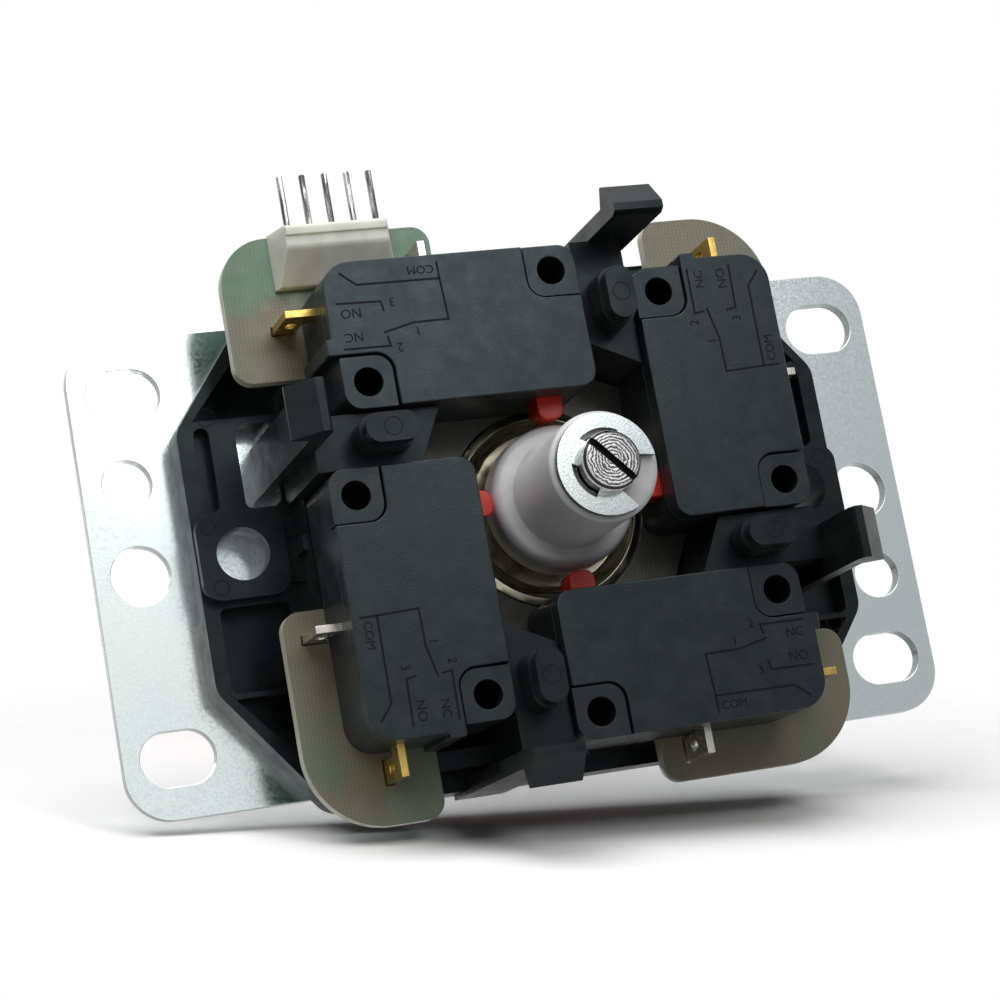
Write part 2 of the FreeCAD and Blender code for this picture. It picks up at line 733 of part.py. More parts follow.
def switch_outline(drawing):
    """The switch seen on its broad face. Its terminal end stands out, with a small stop beside the near hole."""
    step = "-(near_hole_wide + pad_half)"
    stop = "-(switch_left + 2 * switch_tab)"
    drawing.outline([
        ("-switch_left", "-switch_near", "switch_corner"),
        ("-switch_left", step),
        (stop, step, "0.3"),
        (stop, f"{step} - stop_wide", "0.3"),
        ("-(switch_left + switch_tab)", f"{step} - stop_wide"),
        ("-(switch_left + switch_tab)", "-switch_far", "switch_corner_end"),
        ("switch_right", "-switch_far", "switch_corner"),
        ("switch_right", "-switch_near", "switch_corner"),
    ])


def hole_places():
    return [("-near_hole_long", "-near_hole_wide"), ("far_hole_long", "-far_hole_wide")]


def switch_case(side, turn):
    """The deep half of a switch, with its hole bosses, its cavity and the way of its plunger."""
    body = new_body(f"{side}_switch_case", turn)
    blank = Drawing(body, "CaseOutline", offset=BOARD_FACE)
    switch_outline(blank)
    pad(body, "CaseBlank", blank, "switch_thick - cover_thick")
    bosses = Drawing(body, "BossOutlines", offset=COVER_JOINT)
    ends = (("-switch_left", "-switch_near", "+", "-"), ("switch_right", "-switch_far", "-", "+"))
    for (x, y), (end, edge, inward, across) in zip(hole_places(), ends):
        inner, upper = (f"{at} {way} (pad_half - fit_gap)" for at, way in ((x, inward), (y, across)))
        bosses.outline([(end, edge, "switch_corner"), (end, upper), (inner, upper, "pad_corner - fit_gap"), (inner, edge)])
    pad(body, "Bosses", bosses, "cover_thick - pad_sink")
    doc.recompute()
    cavity = Drawing(body, "CavityOutline", offset=COVER_JOINT)
    wall = "shell_wall"
    cavity.outline([
        (f"-(near_hole_long - pad_half - {wall})", f"-(switch_near + {wall})"),
        (f"-(near_hole_long - pad_half - {wall})", f"-(near_hole_wide + pad_half + {wall})"),
        (f"-(switch_left - {wall})", f"-(near_hole_wide + pad_half + {wall})"),
        (f"-(switch_left - {wall})", f"-(switch_far - {wall})", "switch_corner"),
        (f"(far_hole_long - pad_half - {wall} / 2)", f"-(switch_far - {wall})"),
        (f"(far_hole_long - pad_half - {wall} / 2)", f"-(far_hole_wide - pad_half - {wall} / 2)"),
        (f"(switch_right - {wall})", f"-(far_hole_wide - pad_half - {wall} / 2)"),
        (f"(switch_right - {wall})", f"-(switch_near + {wall})"),
    ])
    pocket(body, "Cavity", cavity, f"switch_thick - cover_thick - {wall}")
    way = Drawing(body, "PlungerWay", "XZ_Plane", "switch_near - 0.5")
    way.box("0", SWITCH_MIDDLE, "plunger_wide + 2 * plunger_gap", "plunger_thick + 2 * plunger_gap")
    pocket(body, "PlungerCut", way, f"{wall} + 1")
    holes = Drawing(body, "CaseHoles", offset=BOARD_FACE)
    for x, y in hole_places():
        holes.circle(x, y, "hole_radius")
    pocket(body, "HoleCuts", holes, "switch_thick", up=False)
    end = Drawing(body, "EndBladeWay", "YZ_Plane", "-switch_left - switch_tab")
    end.box("-end_blade_place", f"{BLADE_TOP} + blade_root / 2", "blade_thick", "blade_root")
    pocket(body, "EndBladeCut", end, f"{wall} + switch_tab")
    side_way = Drawing(body, "SideBladeWay", "XZ_Plane", "switch_far")
    side_way.box("-side_blade_place", f"{BLADE_TOP} + blade_root / 2", "blade_thick", "blade_root")
    pocket(body, "SideBladeCut", side_way, wall, up=False)


def switch_cover(side, turn):
    """The flat lid of a switch, notched round the two hole bosses."""
    body = new_body(f"{side}_switch_cover", turn)
    blank = Drawing(body, "CoverOutline", offset=COVER_JOINT)
    switch_outline(blank)
    pad(body, "CoverBlank", blank, "cover_thick")
    doc.recompute()
    notches = Drawing(body, "CoverNotches", offset=COVER_JOINT)
    far = "(pad_half + 4)"
    (nx, ny), (fx, fy) = hole_places()
    notches.outline([
        (f"{nx} - {far}", f"{ny} + {far}"),
        (f"{nx} - {far}", f"{ny} - pad_half"),
        (f"{nx} + pad_half", f"{ny} - pad_half", "pad_corner"),
        (f"{nx} + pad_half", f"{ny} + {far}"),
    ])
    notches.outline([
        (f"{fx} + {far}", f"{fy} - {far}"),
        (f"{fx} + {far}", f"{fy} + pad_half"),
        (f"{fx} - pad_half", f"{fy} + pad_half", "pad_corner"),
        (f"{fx} - pad_half", f"{fy} - {far}"),
    ])
    pocket(body, "NotchCuts", notches, "cover_thick", up=False)


def switch_plunger(side, turn):
    """The push button of a switch, round at the end that meets the actuator."""
    body = new_body(f"{side}_switch_plunger", turn)
    shape = Drawing(body, "PlungerOutline", offset=SWITCH_MIDDLE)
    half = "plunger_wide / 2"
    shape.outline([
        (f"-{half}", "-plunger_tip", "1.1"),
        (f"-{half}", "-switch_near - plunger_tail"),
        (half, "-switch_near - plunger_tail"),
        (half, "-plunger_tip", "1.1"),
    ])
    pad_both_ways(body, "PlungerBlock", shape, "plunger_thick")


def switch_terminal(name, turn, plane, place, wall, reach):
    """A blade out of the switch's wall, bent down through the board, with an oval eye."""
    body = new_body(name, turn)
    shape = Drawing(body, "BladeProfile", plane, place)
    tip, leg = f"-({wall} + {reach})", f"-({wall} + {reach} - blade_wide)"
    root, foot = f"{BLADE_TOP} + blade_root", f"{BOARD_TOP} + blade_through"
    shape.outline([
        (f"-({wall} - shell_wall)", BLADE_TOP),
        (tip, BLADE_TOP),
        (tip, foot),
        (leg, foot),
        (leg, root),
        (f"-({wall} - shell_wall)", root),
    ])
    shape.oblong(f"{tip} + blade_wide / 2", f"{BLADE_TOP} + blade_eye_drop", "blade_eye_long", "blade_eye_wide",
                 upright=True)
    pad_both_ways(body, "Blade", shape, "blade_thick")


def spring_seat():
    """A dished steel washer: a flat floor under the spring, and a slanted wall up to its rim."""
    body = new_body("spring_seat")
    dish = Drawing(body, "SeatProfile", "XZ_Plane")
    dish.outline([
        ("seat_hole_radius", BOARD_TOP),
        ("seat_floor_radius", BOARD_TOP, "0.8"),
        ("seat_radius", f"{BOARD_TOP} - seat_rise"),
        ("seat_radius - seat_thick", f"{BOARD_TOP} - seat_rise - seat_edge"),
        ("seat_floor_radius - seat_thick / 2", SEAT_FACE, "0.5"),
        ("seat_hole_radius", SEAT_FACE),
    ])
    turned(body, "SeatDish", dish)


def return_spring():
    """Its ends lie on the seat and on the floor of the actuator's cup. Eight flats stand for the round wire."""
    body = new_body("return_spring")
    wire = Drawing(body, "WireSection", "XZ_Plane")
    start = "(-actuator_cup + wire_radius)"
    corner = "wire_radius / cos(22.5)"
    wire.outline([
        (f"coil_radius + {corner} * cos({angle})", f"{start} + {corner} * sin({angle})")
        for angle in (22.5 + 45 * k for k in range(8))
    ])
    coil = body.newObject("PartDesign::AdditiveHelix", "Coil")
    coil.Profile = wire.sketch
    coil.ReferenceAxis = (wire.sketch, ["V_Axis"])
    coil.Mode = "pitch-height-angle"
    bind(coil, "Pitch", "coil_pitch")
    bind(coil, "Height", f"{SEAT_FACE} - wire_radius - {start}")


def actuator():
    """The white collar on the shaft that pushes the plungers."""
    body = new_body("actuator")
    shape = Drawing(body, "ActuatorProfile", "XZ_Plane")
    bore = "(shaft_radius + bore_gap)"
    shape.outline([
        ("actuator_cup_radius", "-actuator_top"),
        ("actuator_top_radius", "-actuator_top"),
        ("actuator_radius", "-actuator_top - actuator_taper"),
        ("actuator_radius", "-actuator_shoulder", "1.3"),
        ("actuator_neck_radius", "-actuator_shoulder - 0.2"),
        ("actuator_neck_radius", "-actuator_foot", "0.6"),
        (bore, "-actuator_foot"),
        (bore, "-actuator_cup"),
        ("actuator_cup_radius", "-actuator_cup"),
    ])
    turned(body, "ActuatorBody", shape)


def lever_shaft():
    """The turned steel shaft, with its ring groove, its neck and its threaded end."""
    body = new_body("lever_shaft")
    shape = Drawing(body, "ShaftProfile", "XZ_Plane")
    shape.outline([
        ("0", SHAFT_FOOT),
        ("shaft_radius - shaft_chamfer", SHAFT_FOOT),
        ("shaft_radius", f"{SHAFT_FOOT} + shaft_chamfer"),
        ("shaft_radius", "-actuator_foot - ring_thick"),
        ("ring_groove_radius", "-actuator_foot - ring_thick"),
        ("ring_groove_radius", "-actuator_foot"),
        ("shaft_radius", "-actuator_foot"),
        ("shaft_radius", "-neck_start"),
        ("neck_radius", "-neck_start"),
        ("neck_radius", BALL_FLAT),
        ("thread_radius", BALL_FLAT),
        ("thread_radius", "thread_end"),
        ("0", "thread_end"),
    ])
    turned(body, "ShaftTurning", shape)
    doc.recompute()
    slot = Drawing(body, "ScrewdriverSlot", offset=SHAFT_FOOT)
    slot.box("0", "0", "shaft_radius * 3", "screwdriver_wide")
    pocket(body, "SlotCut", slot, "screwdriver_deep")
    body.Placement = Placement(Vector(), Rotation(Vector(0, 0, 1), SLOT_TURN))


def pivot_ball():
    ball = doc.addObject("Part::Sphere", "PivotSphere")
    bind(ball, "Radius", "pivot_radius")
    bind(ball, "Angle1", "-asin(pivot_foot / pivot_radius)")
    bind(ball, "Angle2", "asin(pivot_cap / pivot_radius)")
    bind(ball, ".Placement.Base.z", "-pivot_depth")
    bore = rod("PivotBore", "neck_radius", "-pivot_depth - pivot_radius", "pivot_radius")
    keep(less("PivotBall", ball, [bore]), "pivot_ball")


def ball_top():
    ball = doc.addObject("Part::Sphere", "TopSphere")
    bind(ball, "Radius", "ball_radius")
    bind(ball, "Angle1", "-acos(ball_flat_radius / ball_radius)")
    bind(ball, ".Placement.Base.z", "ball_middle")
    well = rod("InsertWell", "insert_radius", "ball_middle - ball_radius", "insert_end")
    keep(less("BallTop", ball, [well]), "ball_top")
    sleeve = rod("InsertSleeve", "insert_radius", BALL_FLAT, "insert_end")
    thread = rod("InsertThread", "thread_radius", "0", "thread_end")
    keep(less("BallInsert", sleeve, [thread]), "ball_insert")


def e_ring():
    """The spring clip in the shaft's groove: an open band with three prongs that reach into the groove."""
    body = new_body("e_ring", RING_TURN)
    level = "-actuator_foot"
    band = Drawing(body, "RingBand", offset=level)
    band.circle("0", "0", "ring_radius")
    band.circle("0", "0", "ring_radius - ring_band")
    pad(body, "Band", band, "ring_thick")
    root, end = "(ring_radius - ring_band / 2)", "(ring_groove_radius - ring_prong_end)"
    prongs = Drawing(body, "RingProngs", offset=level)
    half = "ring_prong / 2"
    prongs.outline([(f"-{root}", f"-{half}"), (f"-{end}", f"-{half}"), (f"-{end}", half), (f"-{root}", half)])
    for side in ("-", "+"):
        prongs.outline([
            ("0", f"0 {side} {root}"),
            ("0", f"0 {side} {end}"),
            (end, f"0 {side} {end} / 2"),
            (root, f"0 {side} ring_mouth_inner / 2"),
        ])
    pad(body, "Prongs", prongs, "ring_thick")
    doc.recompute()
    bore = Drawing(body, "RingBore", offset=level)
    bore.circle("0", "0", "ring_groove_radius")
    pocket(body, "Bore", bore, "ring_thick", up=False)
    mouth = Drawing(body, "RingMouth", offset=level)
    mouth.outline([
        ("0", "-ring_mouth_inner / 2"),
        ("ring_groove_radius", "-ring_mouth_inner / 2"),
        ("ring_radius + 1", "-ring_mouth_outer / 2"),
        ("ring_radius + 1", "ring_mouth_outer / 2"),
        ("ring_groove_radius", "ring_mouth_inner / 2"),
        ("0", "ring_mouth_inner / 2"),
    ])
    pocket(body, "MouthCut", mouth, "ring_thick", up=False)


def write_nodes():
    """Checks every object, then writes one file for each node."""
    doc.recompute()
    for thing in doc.Objects:
        if {"Invalid", "Error"} & set(thing.State):
            raise ValueError(f"{thing.Label} failed: {thing.State}")
    for node in NODES:
        shape = node.Shape
        if shape.isNull() or not shape.isValid() or not shape.Solids:
            raise ValueError(f"{node.Label} has no valid solid")
    for node in NODES:
        node.Shape.exportStep(f"parts/{node.Label}.step")


mounting_plate()
plate_screws()
base_body()
circuit_board()
connector()
for side, turn in SIDES.items():
    switch_case(side, turn)
    switch_cover(side, turn)
    switch_plunger(side, turn)
    switch_terminal(f"{side}_switch_no_terminal", turn, "XZ_Plane", "end_blade_place",
                    "switch_left", "end_blade_reach")
    switch_terminal(f"{side}_switch_com_terminal", turn, "YZ_Plane", "-side_blade_place",
                    "switch_far", "side_blade_reach")
spring_seat()
return_spring()
actuator()
lever_shaft()
pivot_ball()
ball_top()
e_ring()
write_nodes()
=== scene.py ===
import math

import bmesh
import bpy
from mathutils import Matrix, Vector


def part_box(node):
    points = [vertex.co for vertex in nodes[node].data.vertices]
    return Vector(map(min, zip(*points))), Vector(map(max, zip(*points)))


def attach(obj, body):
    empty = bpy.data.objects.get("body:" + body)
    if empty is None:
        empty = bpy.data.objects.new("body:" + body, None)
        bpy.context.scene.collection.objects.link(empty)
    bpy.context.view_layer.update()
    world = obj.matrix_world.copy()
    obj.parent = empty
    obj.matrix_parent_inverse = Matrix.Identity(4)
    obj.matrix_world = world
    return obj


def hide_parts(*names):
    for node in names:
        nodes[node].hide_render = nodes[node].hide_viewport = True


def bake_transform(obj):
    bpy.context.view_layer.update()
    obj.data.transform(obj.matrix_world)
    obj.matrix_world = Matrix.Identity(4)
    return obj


# Looks of the arcade joystick lever. +Z points to the lever's ball, and the photograph looks at the
# underside, from negative Z. Details are given in millimetres, and the stage in metres.

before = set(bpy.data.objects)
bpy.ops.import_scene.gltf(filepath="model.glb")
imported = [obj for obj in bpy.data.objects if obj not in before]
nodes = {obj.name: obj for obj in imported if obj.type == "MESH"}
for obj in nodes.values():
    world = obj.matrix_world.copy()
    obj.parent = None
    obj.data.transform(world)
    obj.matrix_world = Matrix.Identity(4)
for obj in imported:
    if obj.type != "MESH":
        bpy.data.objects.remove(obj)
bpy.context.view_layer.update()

SIDES = {"front": 0, "right": 90, "rear": 180, "left": 270}
MM = 0.001

# Edges of the CAD nodes
WELD_REACH = 1e-6
FLAT_WITHIN = math.radians(1)
SHARP_FROM = math.radians(35)

# Levels of the faces that carry details
COVER_FACE = -23.1
EAR_FACE = -7.6
RIM_FACE = -6.1
TOWER_FACE = -21.6
POST_RISE = 5.0

# Contact diagram and labels on the front switch's cover. The other switches turn them.
LINE_WIDE = 0.22
LINE_HIGH = 0.03
MITRE_LEAST = 0.4
DIAGRAM = (
    ((-21.8, -25.4), (-20.1, -24.0), (-10.95, -23.95)),
    ((-11.0, -25.8), (-10.95, -23.95), (-10.75, -19.45), (-14.6, -19.4), (-18.0, -18.6)),
    ((-22.7, -22.1), (-17.8, -22.0), (-17.6, -20.9)),
    ((-22.6, -17.15), (-17.5, -17.1), (-17.7, -18.2)),
)
LABELS = (
    ("COM", (-12.9, -25.1), 1.3), ("NO", (-21.2, -21.0), 1.45), ("NC", (-21.3, -18.4), 1.4),
    ("1", (-14.3, -18.5), 1.4), ("2", (-16.5, -16.9), 1.4), ("3", (-16.6, -21.9), 1.4),
)

# Marks of the ejector pins. Those of the ears and the rim repeat half a turn further.
MARK_WIDE = 0.1
MARK_HIGH = 0.02
MARK_SIDES = 28
EAR_MARKS = ((36.3, 3.3), (35.8, -3.4), (29.6, -3.4))
EAR_MARK_RADIUS = 0.82
RIM_MARKS = ((34.3, 15.6), (35.4, -14.3))
RIM_MARK_RADIUS = 1.0
POST_MARK = (7.73, -19.8)
POST_MARK_RADIUS = 0.95

# Coil of the return spring
COIL_WIRE_RADIUS = 0.4
COIL_TURNS = 3.2
COIL_START = math.radians(-20)
COIL_SEAT_GAP = 0.2
COIL_FAR_GAP = 0.05
COIL_STEPS = 150
COIL_SIDES = 10

# Cross recesses of the plate screws
SCREW_PLACE = (20.0, 20.5)
CROSS_LONG = 2.6
CROSS_WIDE = 0.6
CROSS_HIGH = 0.02

# Patterns, painted shade and painted reflections in the materials
SHAFT_RADIUS = 3.15
SHAFT_SKIN = (0.08, 0.03)
FACE_DEPTH = (0.06, 0.12)
# Depths below the faced end where the painted shade in the slot and the groove begins
RECESS_DEPTH = (0.12, 0.2)
RING_PITCH = 0.34
WEAVE_PITCH = 0.42
FRINGE_PLACE = (-27.2, -25.4)
FRINGE_SLANT = 0.14
FRINGE_DRIFT = 7.0
# Radii within which the board's painted shade towards the lever fades out
SHADED_RADIUS = (22, 27)

# Sockets of a mix node for colours: the share and both colours, and the result
MIX_INPUTS = (0, 6, 7)
MIX_RESULT = 2

# Camera, fitted to the plate's slots and the posts
CAMERA_PLACE = (-0.09814, 0.05248, -0.28157)
CAMERA_AHEAD = (0.3212, -0.1866, 0.9284)
CAMERA_UP = (0.1085, -0.9667, -0.2318)
CAMERA_LENS = 96.27
SENSOR_WIDTH = 36

# Table that touches the ball and the plate's lower left corner, and a card that gloss sees at the right
TABLE_UP = Vector((0.0858, -0.9514, -0.2960)).normalized()
TABLE_HALF = 1.0
TABLE_GAP = 0.0005
TABLE_SEEN = 1.16
TABLE_FELT = 0.35
TABLE_FADE = (0.06, 0.11)
SHADE_FORWARD = 0.035
CARD_PLACE = (0.58, 0.0, -0.55)
CARD_HALF = 0.48
CARD_LEVEL = 0.52

# Light from all round, and each lamp's name, place, target, size and watts
AMBIENT = 0.05
LAMPS = (
    ("key", (0.10, -0.165, -0.37), (0, 0, -0.01), (0.14, 0.14), 0.30),
    ("over", (-0.07, -0.40, -0.20), (0, 0, 0), (0.55, 0.45), 2.4),
    ("back", (0.05, 0.0, 0.60), (0, 0, 0.02), (0.3, 0.3), 1.6),
)


# Materials

class Paint:
    """A node material under construction, with one principled shader.
    Names of sockets are written with underscores for their spaces."""

    def __init__(self, name, **settings):
        self.material = bpy.data.materials.new(name)
        self.material.use_nodes = True
        self.tree = self.material.node_tree
        self.shader = self.tree.nodes["Principled BSDF"]
        self.set(**settings)

    def feed(self, socket, value):
        """Links the socket to another one, or gives it a value. A colour comes without its alpha."""
        if isinstance(value, bpy.types.NodeSocket):
            self.tree.links.new(value, socket)
        elif socket.type == "RGBA":
            socket.default_value = (*value, 1)
        else:
            socket.default_value = value

    def feed_by_name(self, node, inputs):
        for name, value in inputs.items():
            self.feed(node.inputs[name.replace("_", " ")], value)

    def set(self, **settings):
        self.feed_by_name(self.shader, settings)

    def node(self, kind, **inputs):
        made = self.tree.nodes.new(kind)
        self.feed_by_name(made, inputs)
        return made

    def place(self, scale=1.0):
        """Object coordinates in millimetres over the scale, so that a pattern's size is in millimetres."""
        sizes = scale if isinstance(scale, tuple) else (scale,) * 3
        point = self.node("ShaderNodeTexCoord").outputs["Object"]
        made = self.node("ShaderNodeMapping", Vector=point, Scale=[1 / (MM * size) for size in sizes])
        return made.outputs["Vector"]

    def axes(self):
        """The place in millimetres, as sockets X, Y and Z."""
        return self.node("ShaderNodeSeparateXYZ", Vector=self.place()).outputs

    def radius(self, axes):
        """The distance from the axis of the lever at rest, in millimetres."""
        across = self.node("ShaderNodeCombineXYZ", X=axes["X"], Y=axes["Y"])
        made = self.tree.nodes.new("ShaderNodeVectorMath")
        made.operation = "LENGTH"
        self.feed(made.inputs[0], across.outputs[0])
        return made.outputs["Value"]

    def facing(self):
        """How far a face looks along Z."""
        normal = self.node("ShaderNodeNewGeometry").outputs["True Normal"]
        return self.node("ShaderNodeSeparateXYZ", Vector=normal).outputs["Z"]

    def noise(self, size, detail, roughness=0.5):
        made = self.node("ShaderNodeTexNoise", Vector=self.place(size), Scale=1.0, Detail=detail,
                         Roughness=roughness)
        return made.outputs["Fac"]

    def cells(self, size):
        """A value for each grain of a crystalline surface."""
        made = self.node("ShaderNodeTexVoronoi", Vector=self.place(size), Scale=1.0)
        return self.node("ShaderNodeSeparateColor", Color=made.outputs["Color"]).outputs["Red"]

    def wave(self, axis, pitch):
        """Smooth bands across an axis, a band in each pitch."""
        made = self.node("ShaderNodeTexWave", Vector=self.place(), Scale=math.pi / 10 / pitch,
                         Distortion=0.4, Detail=2.0)
        made.bands_direction = axis
        return made.outputs["Fac"]

    def compute(self, operation, *values):
        made = self.tree.nodes.new("ShaderNodeMath")
        made.operation = operation
        for socket, value in zip(made.inputs, values):
            self.feed(socket, value)
        return made.outputs[0]

    def span(self, value, low, high, start=0.0, end=1.0):
        """The value, taken from low..high to start..end."""
        made = self.node("ShaderNodeMapRange", Value=value, From_Min=low, From_Max=high,
                         To_Min=start, To_Max=end)
        return made.outputs["Result"]

    def mix(self, share, first, second):
        """The first colour where the share is zero, and the second where it is one."""
        made = self.tree.nodes.new("ShaderNodeMix")
        made.data_type = "RGBA"
        for index, value in zip(MIX_INPUTS, (share, first, second)):
            self.feed(made.inputs[index], value)
        return made.outputs[MIX_RESULT]

    def bump(self, height, depth, strength):
        """Relief of that depth in millimetres."""
        made = self.node("ShaderNodeBump", Height=height, Distance=depth * MM, Strength=strength)
        return made.outputs["Normal"]


def scaled(values, share):
    return tuple(share * value for value in values)


def zinc(name, grain, bright):
    """Zinc plating on pressed steel: fine grains, broad, faint blue and straw clouds, and dark edges,
    partly duller cut steel and partly painted shade on the faces that turn away from Z.
    """
    paint = Paint(name, Metallic=1.0)
    clouds = paint.span(paint.noise(22, 3), 0.35, 0.65)
    grains = paint.cells(grain)
    cool, warm = scaled((0.85, 0.95, 0.96), bright), scaled((0.91, 0.96, 0.93), bright)
    dull = scaled(cool, 0.86)
    face = paint.mix(paint.span(grains, 0.4, 1.0, 0.0, 0.8), paint.mix(clouds, cool, warm), dull)
    # Painted shade on faces that turn away from Z, partly also the duller steel of cut edges
    edge = paint.span(paint.compute("ABSOLUTE", paint.facing()), 0.6, 0.95, 1.0, 0.0)
    paint.set(
        Base_Color=paint.mix(edge, face, scaled(cool, 0.3)),
        Roughness=paint.span(grains, 0.0, 1.0, 0.14, 0.24),
        Normal=paint.bump(paint.noise(grain * 1.6, 2), 0.006, 0.6),
    )
    return paint.material


def shaft_steel():
    """Turned steel. The faced end shows the tool's rings, their dark partly painted reflection, and the
    slot and the groove have painted shade inside.
    """
    paint = Paint("turned_steel", Metallic=1.0)
    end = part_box("lever_shaft")[0].z / MM
    axes = paint.axes()
    radius = paint.radius(axes)
    wobble = paint.compute("MULTIPLY_ADD", paint.noise(0.7, 4), 0.75, radius)
    rings = paint.compute("SINE", paint.compute("MULTIPLY", wobble, 2 * math.pi / RING_PITCH))
    ring = paint.span(rings, -0.6, 0.6)
    inside = paint.span(radius, *(SHAFT_RADIUS - skin for skin in SHAFT_SKIN), 1.0, 0.0)
    deep = paint.span(axes["Z"], *(end + depth for depth in RECESS_DEPTH))
    # Painted shade inside the slot and the groove, below the faced end
    recess_shade = paint.compute("MULTIPLY", inside, deep)
    shallow = paint.span(axes["Z"], *(end + depth for depth in FACE_DEPTH), 1.0, 0.0)
    faced = paint.compute("MULTIPLY", inside, shallow)
    streaks = paint.span(paint.noise((0.35, 0.35, 9), 3), 0.4, 0.6)
    side = paint.mix(streaks, (0.48, 0.48, 0.48), (0.66, 0.66, 0.65))
    # The tool's rings: real marks, their dark partly painted reflection
    face = paint.mix(ring, (0.07, 0.07, 0.075), (0.50, 0.50, 0.50))
    paint.set(
        Base_Color=paint.mix(recess_shade, paint.mix(faced, side, face), (0.03, 0.028, 0.026)),
        Roughness=paint.span(paint.noise(0.5, 3), 0.3, 0.7, 0.18, 0.34),
        Normal=paint.bump(paint.compute("MULTIPLY", ring, faced), 0.03, 0.7),
    )
    return paint.material


def pressed_steel():
    """A pressed dish with the fine marks of its turning."""
    paint = Paint("pressed_steel", Metallic=1.0, Anisotropic=0.6)
    marks = paint.noise((3.5, 3.5, 0.12), 3)
    paint.set(
        Base_Color=paint.mix(paint.span(marks, 0.35, 0.65), (0.24, 0.23, 0.16), (0.66, 0.63, 0.50)),
        Roughness=paint.span(marks, 0.3, 0.7, 0.24, 0.40),
        Normal=paint.bump(marks, 0.01, 0.6),
    )
    return paint.material


def plain_metal(name, color, smooth, rough):
    """Plated sheet with slight wear and a soft, uneven gloss."""
    paint = Paint(name, Metallic=1.0)
    worn = paint.span(paint.noise(1.4, 4, 0.65), 0.3, 0.7)
    paint.set(
        Base_Color=paint.mix(worn, color, scaled(color, 0.72)),
        Roughness=paint.span(paint.noise(0.6, 3), 0.3, 0.7, smooth, rough),
        Normal=paint.bump(paint.noise(0.9, 2), 0.01, 0.4),
    )
    return paint.material


def pin_metal():
    """Tinned pins, with painted dark reflections in ragged bands along them."""
    paint = Paint("tinned_pin", Metallic=1.0)
    # Ragged bands along the pins for the painted dark reflections
    dark_reflection_stripes = paint.span(paint.noise((0.5, 6.0, 0.6), 4, 0.6), 0.44, 0.56)
    paint.set(
        Base_Color=paint.mix(dark_reflection_stripes, (0.06, 0.06, 0.058), (0.44, 0.44, 0.42)),
        Roughness=paint.span(paint.noise(0.4, 2), 0.3, 0.7, 0.22, 0.4),
    )
    return paint.material


def switch_plastic():
    """Charcoal moulding with a spark-eroded skin, rubbed shiny and dusty in patches."""
    paint = Paint("switch_plastic", Specular_IOR_Level=0.34, Specular_Tint=(0.76, 0.92, 1.0))
    patches = paint.span(paint.noise(2.6, 6, 0.66), 0.42, 0.62)
    speck = paint.noise(0.22, 2)
    skin = paint.mix(patches, (0.006, 0.008, 0.009), (0.016, 0.019, 0.020))
    paint.set(
        Base_Color=paint.mix(paint.span(speck, 0.5, 0.72, 0.0, 0.5), skin, (0.030, 0.033, 0.033)),
        Roughness=paint.span(paint.noise(2.2, 5, 0.6), 0.36, 0.64, 0.28, 0.38),
        Normal=paint.bump(speck, 0.02, 0.6),
    )
    return paint.material


def base_plastic():
    """Black semi-gloss moulding with faint flow marks."""
    paint = Paint("base_plastic", Specular_IOR_Level=0.2, Specular_Tint=(0.76, 0.92, 1.0))
    flow = paint.span(paint.noise((9, 4, 9), 4, 0.6), 0.38, 0.62)
    paint.set(
        Base_Color=paint.mix(flow, (0.006, 0.0075, 0.008), (0.014, 0.016, 0.0165)),
        Roughness=paint.span(paint.noise(2.6, 5), 0.3, 0.7, 0.24, 0.42),
        Normal=paint.bump(paint.noise(0.5, 3), 0.012, 0.5),
    )
    return paint.material


def fibreglass():
    """Bare board: its cloth with the mask's green showing through, with painted shade towards the lever,
    and pale at the cut edges. The mask itself is on the far side."""
    paint = Paint("fibreglass", Subsurface_Weight=0.12, Subsurface_Scale=1.0)
    rows, columns = (paint.wave(axis, WEAVE_PITCH) for axis in "YX")
    weave = paint.compute("MULTIPLY_ADD", rows, 0.35, paint.compute("MULTIPLY", columns, 0.65))
    axes = paint.axes()
    slant = paint.compute("MULTIPLY_ADD", axes["X"], FRINGE_SLANT, axes["Y"])
    drift = paint.compute("MULTIPLY_ADD", paint.noise(7, 3), FRINGE_DRIFT, slant)
    patches = paint.span(paint.noise(8, 2), 0.50, 0.62, 0.0, 0.55)
    green = paint.compute("MAXIMUM", paint.span(drift, *FRINGE_PLACE, 1.0, 0.0), patches)
    bare = paint.mix(green, (0.185, 0.165, 0.115), (0.115, 0.21, 0.135))
    thread = paint.mix(green, (0.26, 0.235, 0.165), (0.165, 0.26, 0.18))
    woven = paint.mix(paint.span(weave, 0.1, 0.9, 0.0, 0.7), bare, thread)
    # Painted shade on the cloth towards the lever
    shaded = paint.span(paint.radius(axes), *SHADED_RADIUS, 1.0, 0.0)
    cloth = paint.mix(shaded, woven, (0.035, 0.036, 0.025))
    facing = paint.facing()
    edge = paint.span(paint.compute("ABSOLUTE", facing), 0.5, 0.8, 1.0, 0.0)
    near_side = paint.mix(edge, cloth, (0.66, 0.63, 0.50))
    paint.set(
        Base_Color=paint.mix(paint.span(facing, 0.4, 0.6), near_side, (0.012, 0.14, 0.075)),
        Roughness=paint.span(paint.noise(1.5, 3), 0.3, 0.7, 0.34, 0.5),
        Subsurface_Radius=scaled((0.6, 0.9, 0.5), MM),
        Normal=paint.bump(weave, 0.015, 0.5),
    )
    return paint.material


def milky_plastic(name, color, depth, rough):
    """White plastic that light enters, with a soft skin."""
    paint = Paint(name, Roughness=rough, Subsurface_Weight=0.6, Subsurface_Scale=1.0)
    faint = paint.span(paint.noise((2, 2, 5), 3), 0.35, 0.65)
    paint.set(
        Base_Color=paint.mix(faint, color, scaled(color, 0.88)),
        Subsurface_Radius=scaled((1.0, 1.0, 0.9), depth * MM),
        Normal=paint.bump(paint.noise(0.8, 3), 0.012, 0.4),
    )
    return paint.material


